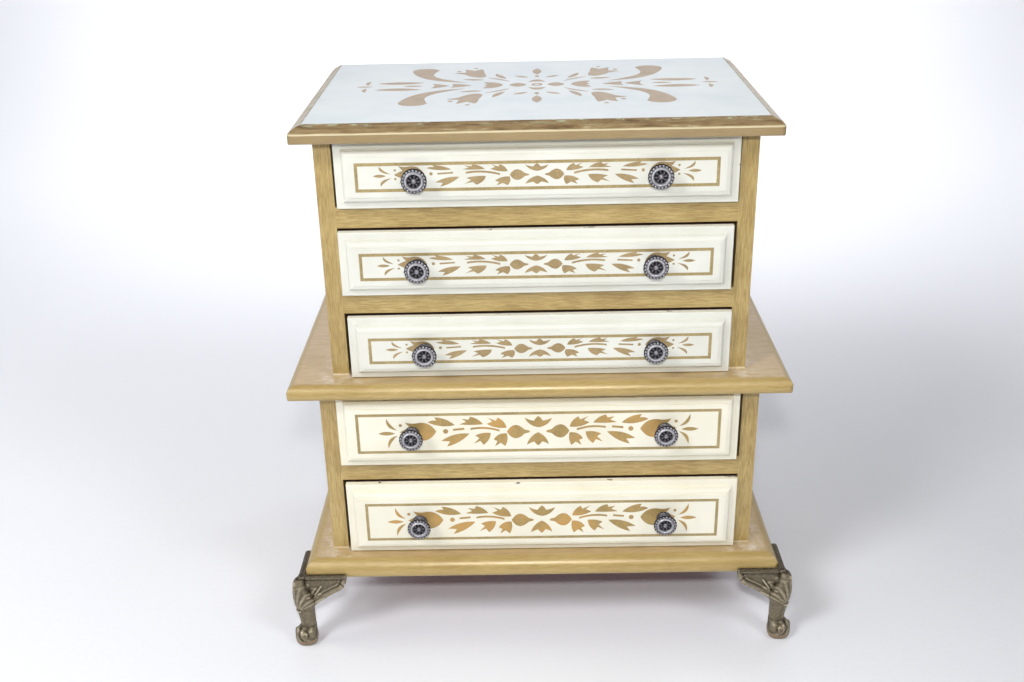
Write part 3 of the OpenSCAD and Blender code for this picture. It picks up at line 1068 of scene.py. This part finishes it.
def add_tube(build, path, radii, sides=12):
    """Round bar along a path of points, with a radius at each."""
    rings = []
    for k, point in enumerate(path):
        before, after = path[max(k - 1, 0)], path[min(k + 1, len(path) - 1)]
        ahead = (Vector(after) - Vector(before)).normalized()
        side = ahead.orthogonal().normalized()
        if abs(ahead.z) < 0.9:
            side = ahead.cross(Vector((0, 0, 1))).normalized()
        other = ahead.cross(side)
        turns = [2 * math.pi * s / sides for s in range(sides)]
        rings.append(
            [
                Vector(point) + radii[k] * (math.cos(t) * side + math.sin(t) * other)
                for t in turns
            ]
        )
    ring_loft(build, rings)


def add_prism(build, profile, place, near, far):
    """Flat plate: a profile of (a, z) points set by place(a, depth, z)."""
    low = [build.verts.new(place(a, near, z)) for a, z in profile]
    high = [build.verts.new(place(a, far, z)) for a, z in profile]
    build.faces.new(low)
    build.faces.new(high[::-1])
    for k in range(len(profile)):
        after = (k + 1) % len(profile)
        build.faces.new((low[k], high[k], high[after], low[after]))


def shifted_left(points, distance):
    """A path of (a, z) points moved to the left of its own direction."""
    moved = []
    for k, (a, z) in enumerate(points):
        a0, z0 = points[max(k - 1, 0)]
        a1, z1 = points[min(k + 1, len(points) - 1)]
        length = math.hypot(a1 - a0, z1 - z0)
        moved.append((a - (z1 - z0) / length * distance, z + (a1 - a0) / length * distance))
    return moved


def add_arm(build, place):
    """Bracket arm: sunk face, rolled lower edge, bevelled band and a bead at its end."""
    roll_r, ridge_r = 1.9, 0.7
    inner_edge = shifted_left(ARM_LOW_EDGE, 1.2)
    plate = [(6.0, ARM_TOP - 1), (6.0, 38.0), (12.0, 30.0), *inner_edge]
    add_prism(build, plate, place, ARM_FACE + 1.3, ARM_BACK)
    roll = shifted_left(ARM_LOW_EDGE, 1.7)
    radii = [roll_r] * (len(roll) - 2) + [1.6, 1.3]
    add_tube(build, [place(a, ARM_FACE + roll_r, z) for a, z in roll], radii)
    ridge = shifted_left(ARM_LOW_EDGE[:-2], 4.6)
    ridge_path = [place(a, ARM_FACE + 1.5, z) for a, z in ridge]
    add_tube(build, ridge_path, [ridge_r] * len(ridge))
    band = [
        (ARM_BACK, BOARD_LOW), (ARM_BACK, ARM_TOP), (ARM_FACE + 1.9, ARM_TOP),
        (ARM_FACE + 0.7, 48.0), (ARM_FACE + 0.7, 47.2), (ARM_FACE + 1.3, 46.6),
    ]
    add_prism(build, band, lambda depth, a, z: place(a, depth, z), 5.0, ARM_END)
    bead = [place(a, ARM_FACE + roll_r, 45.4) for a in (31.6, 32.6, 33.4, 34.0)]
    add_tube(build, bead, [0.8, 1.8, 1.8, 0.8])


def foot_solid():
    """Rough casting as overlapping solids, before they are fused."""
    build = bmesh.new()
    heights = sorted({z for z, _ in LEG_OUTER + LEG_INNER} | set(range(2, 48, 2)))
    ring_loft(build, [leg_ring(z) for z in heights])
    add_arm(build, lambda a, depth, z: (a, depth, z))
    add_arm(build, lambda a, depth, z: (depth, a, z))
    # rolled toe across the diagonal
    across = [(4.6 + t, 4.6 - t, 8.0) for t in (-4.2, -3.0, -1.2, 1.2, 3.0, 4.2)]
    across = [(max(u, 1.2), max(v, 1.2), z) for u, v, z in across]
    add_tube(build, across, [1.6, 2.8, 3.3, 3.3, 2.8, 1.6], 20)
    # flange that carries the board
    flange = [(8.5, 8.5), (32, 8.5), (32, 13), (13, 32), (8.5, 32)]
    add_prism(build, flange, lambda u, z, v: (u, v, z), FLANGE_LOW, BOARD_LOW)
    bmesh.ops.recalc_face_normals(build, faces=build.faces)
    mesh = bpy.data.meshes.new("foot_rough")
    build.to_mesh(mesh)
    build.free()
    return mesh


def fused(mesh, voxel):
    """The mesh as one skin, by voxel remesh and a light smoothing."""
    rough = bpy.data.objects.new("rough", mesh)
    bpy.context.scene.collection.objects.link(rough)
    remesh = rough.modifiers.new("fuse", "REMESH")
    remesh.mode = "VOXEL"
    remesh.voxel_size = voxel
    smooth = rough.modifiers.new("soften", "SMOOTH")
    smooth.factor = 0.5
    smooth.iterations = 3
    ready = rough.evaluated_get(bpy.context.evaluated_depsgraph_get())
    made = bpy.data.meshes.new_from_object(ready)
    bpy.data.objects.remove(rough)
    return made


# Carved strokes of the leaf: (across, z) of both ends, half width, height. Across runs from
# the outer corner towards an arm, and each stroke is cut on both sides of the corner.
LEAF_STROKES = [
    (0.0, 45.8, 0.0, 45.9, 1.3, 0.6),
    (0.0, 29.0, 0.0, 43.0, 1.0, 0.3),
    (1.0, 29.0, 3.2, 42.6, 1.1, 0.4),
    (1.8, 28.6, 6.0, 39.4, 1.2, 0.45),
    (2.6, 28.2, 8.4, 35.6, 1.2, 0.45),
    (3.0, 27.4, 10.8, 33.8, 1.0, 0.4),
    (3.4, 43.2, 3.5, 43.3, 1.5, 0.4),
    (6.4, 40.2, 6.5, 40.3, 1.5, 0.5),
    (8.8, 36.4, 8.9, 36.5, 1.4, 0.4),
    (6.4, 36.0, 9.2, 42.0, 0.7, 0.6),
    (0.0, 25.2, 1.8, 25.4, 0.9, 0.6),
]


def leaf_carving(u, v, z):
    """Carved height of the leaf on the knee at points of the skin."""
    across = np.abs(u - v) / math.sqrt(2)
    height = np.zeros_like(across)
    for a0, z0, a1, z1, half, rise in LEAF_STROKES:
        run, climb = a1 - a0, z1 - z0
        share = ((across - a0) * run + (z - z0) * climb) / (run**2 + climb**2)
        share = np.clip(share, 0, 1)
        apart = np.hypot(across - a0 - run * share, z - z0 - climb * share)
        taper = half * (1 - 0.35 * share)
        height = np.maximum(height, rise * np.exp(-((apart / taper) ** 2)))
    outer_side = np.clip((16.5 - (u + v) / math.sqrt(2) + 0.75 * across) / 2.5, 0, 1)
    return height * outer_side


def foot_mesh():
    """The fused casting with its carving, in the corner frame, in millimetres."""
    mesh = fused(foot_solid(), FOOT_VOXEL)
    count = len(mesh.vertices)
    places = np.zeros(count * 3)
    normals = np.zeros(count * 3)
    mesh.vertices.foreach_get("co", places)
    mesh.vertices.foreach_get("normal", normals)
    places, normals = places.reshape(-1, 3), normals.reshape(-1, 3)
    u, v, z = places.T
    carving = leaf_carving(u, v, z)
    # facets down the shin and a spiral line on the toe
    across = (u - v) / math.sqrt(2)
    shin = np.clip((z - 13) / 2, 0, 1) * np.clip((26 - z) / 2, 0, 1)
    facets = 0.3 * np.abs(np.cos(across * 0.75)) * shin
    toe = np.clip((13 - z) / 1.5, 0, 1) * np.clip((z - 4) / 1.0, 0, 1)
    curl = 0.3 * np.cos(across * 1.5 + 0.9 * z) * toe
    height = carving + facets + curl
    places = places + normals * height[:, None]
    places[:, :2] = np.maximum(places[:, :2], 0.02)
    places[:, 2] = np.clip(places[:, 2], 0.0, ARM_TOP)
    keep_off_board(places)
    edges = np.zeros(len(mesh.edges) * 2, int)
    mesh.edges.foreach_get("vertices", edges)
    hollow = curvature(places, normals, edges.reshape(-1, 2))
    # Painted shade: relief is lowered on the arms' top band, above 46 mm, so it reads darker
    # under the light from above.
    rim = np.clip((places[:, 2] - 46) / 1.5, 0, 1)
    relief = 0.42 + hollow * 1.5 + 0.14 * carving - 0.2 * rim
    mesh.vertices.foreach_set("co", places.ravel())
    return mesh, np.clip(relief, 0, 1)


def keep_off_board(places):
    """Pushes points out of the board's corner, which rests on the casting."""
    nearest = np.argmin(places[:, :2], axis=1)
    rows = np.arange(len(places))
    inside = (places[:, :2].min(axis=1) > ARM_BACK) & (places[:, 2] > BOARD_LOW)
    sunk = inside & (places[:, 2] < BOARD_LOW + 1)
    places[sunk, 2] = BOARD_LOW
    high = inside & ~sunk
    places[rows[high], nearest[high]] = ARM_BACK


def curvature(places, normals, edges):
    """How far each point stands out from its neighbours, smoothed over a few rings."""
    count = len(places)
    degree = np.bincount(edges.ravel(), minlength=count)[:, None]

    def around(values):
        total = np.zeros_like(values)
        np.add.at(total, edges[:, 0], values[edges[:, 1]])
        np.add.at(total, edges[:, 1], values[edges[:, 0]])
        return total / degree

    blurred = places
    for _ in range(6):
        blurred = around(blurred)
    return np.einsum("ij,ij->i", places - blurred, normals)


def add_feet():
    low, high = cad_bounds[0] / MM, cad_bounds[1] / MM
    made, relief = foot_mesh()
    corners = {
        "front_left": (low.x, low.y),
        "front_right": (high.x, low.y),
        "back_left": (low.x, high.y),
        "back_right": (high.x, high.y),
    }
    for corner, (x, y) in corners.items():
        sx, sy = (1 if x < 0 else -1), (1 if y < 0 else -1)
        mesh = made.copy()
        mesh.name = f"foot_{corner}_cast"
        mesh.transform(
            Matrix.Translation((x * MM, y * MM, 0)) @ Matrix.Diagonal((sx * MM, sy * MM, MM, 1))
        )
        if sx * sy < 0:
            mesh.flip_normals()
        for polygon in mesh.polygons:
            polygon.use_smooth = True
        store_relief(mesh, relief)
        piece = add_piece(f"foot_{corner}_cast", mesh, "bronze", "carcass")
        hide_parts(f"foot_{corner}")


# ---------- stage, lights and camera ----------


def floor_paper():
    p = Paint("floor_paper")
    fibre = p.noise(3, 3)
    p.set(
        Base_Color=p.ramp(fibre, (0.3, rgb(245, 246, 250)), (0.7, rgb(248, 249, 252))),
        Roughness=0.7,
    )
    return p


def add_stage():
    """Pale floor that sweeps up into a backdrop."""
    depth, rise, radius, width = 1.1, 2.4, 0.9, 4.0
    profile = [(-3.0, 0.0), (depth, 0.0)]
    for step in range(1, 13):
        a = math.radians(90 * step / 12)
        profile.append((depth + radius * math.sin(a), radius * (1 - math.cos(a))))
    profile.append((depth + radius, rise))
    points = [(x, y, z) for y, z in profile for x in (-width, width)]
    faces = [(2 * k, 2 * k + 1, 2 * k + 3, 2 * k + 2) for k in range(len(profile) - 1)]
    mesh = bpy.data.meshes.new("floor")
    mesh.from_pydata(points, [], faces)
    for polygon in mesh.polygons:
        polygon.use_smooth = True
    floor = bpy.data.objects.new("floor", mesh)
    bpy.context.scene.collection.objects.link(floor)
    mesh.materials.append(floor_paper().material)


CHEST = (0, -0.02, 0.15)
NEUTRAL = (1.0, 0.995, 0.98)
COOL = (0.97, 0.98, 1.0)
WHITE = (0.98, 0.98, 1.0)
# name, place, aim, size in metres, power in watts, colour, spread in degrees
LIGHTS = [
    ("flash", (-0.007, -0.69, 0.56), CHEST, 0.05, 2.4, NEUTRAL, 180),
    ("soft_left", (-0.78, -0.86, 1.15), CHEST, 0.45, 10.2, COOL, 180),
    ("soft_right", (0.84, -0.9, 1.2), CHEST, 0.45, 4.8, COOL, 180),
    ("over_top", (0.45, 0.3, 0.62), (0.1, 0, 0.32), 0.2, 0.13, COOL, 70),
    ("by_floor", (-0.75, -0.1, 0.6), (-0.55, -0.1, 0), 0.5, 0.8, (0.98, 0.99, 1.0), 110),
    ("backdrop", (-0.05, 0.75, 1.3), (0.0, 2.0, 0.6), 0.8, 27, WHITE, 180),
]


def add_light(name, place, aim, size, power, colour, spread):
    data = bpy.data.lights.new(name, "AREA")
    data.shape = "DISK"
    data.size = size
    data.energy = power
    data.color = colour
    data.spread = math.radians(spread)
    lamp = bpy.data.objects.new(name, data)
    lamp.location = place
    lamp.rotation_mode = "QUATERNION"
    lamp.rotation_quaternion = (Vector(aim) - Vector(place)).to_track_quat("-Z", "Y")
    bpy.context.scene.collection.objects.link(lamp)


def add_lights():
    for light in LIGHTS:
        add_light(*light)
    world = bpy.data.worlds.new("world")
    world.use_nodes = True
    background = world.node_tree.nodes["Background"]
    background.inputs["Color"].default_value = rgb(232, 236, 250)
    background.inputs["Strength"].default_value = 0.09
    bpy.context.scene.world = world
    bpy.context.scene.view_settings.view_transform = "Standard"


def add_camera():
    """The photograph's viewpoint: a little above, almost square on, a slight roll."""
    data = bpy.data.cameras.new("camera")
    data.sensor_width = 36
    data.lens = 41.07
    camera = bpy.data.objects.new("camera", data)
    pitch, yaw, roll = (math.radians(a) for a in (24.255, -0.732, -1.276))
    turn = (
        Matrix.Rotation(-yaw, 4, "Z")
        @ Matrix.Rotation(math.radians(90) - pitch, 4, "X")
        @ Matrix.Rotation(roll, 4, "Z")
    )
    camera.matrix_world = Matrix.Translation((-0.00724, -0.67883, 0.47125)) @ turn
    bpy.context.scene.collection.objects.link(camera)
    bpy.context.scene.camera = camera


# ---------- build ----------

dress_frame()
paint_top()
for number in DRAWERS:
    paint_drawer(number)
add_knobs()
add_feet()
add_stage()
add_lights()
add_camera()
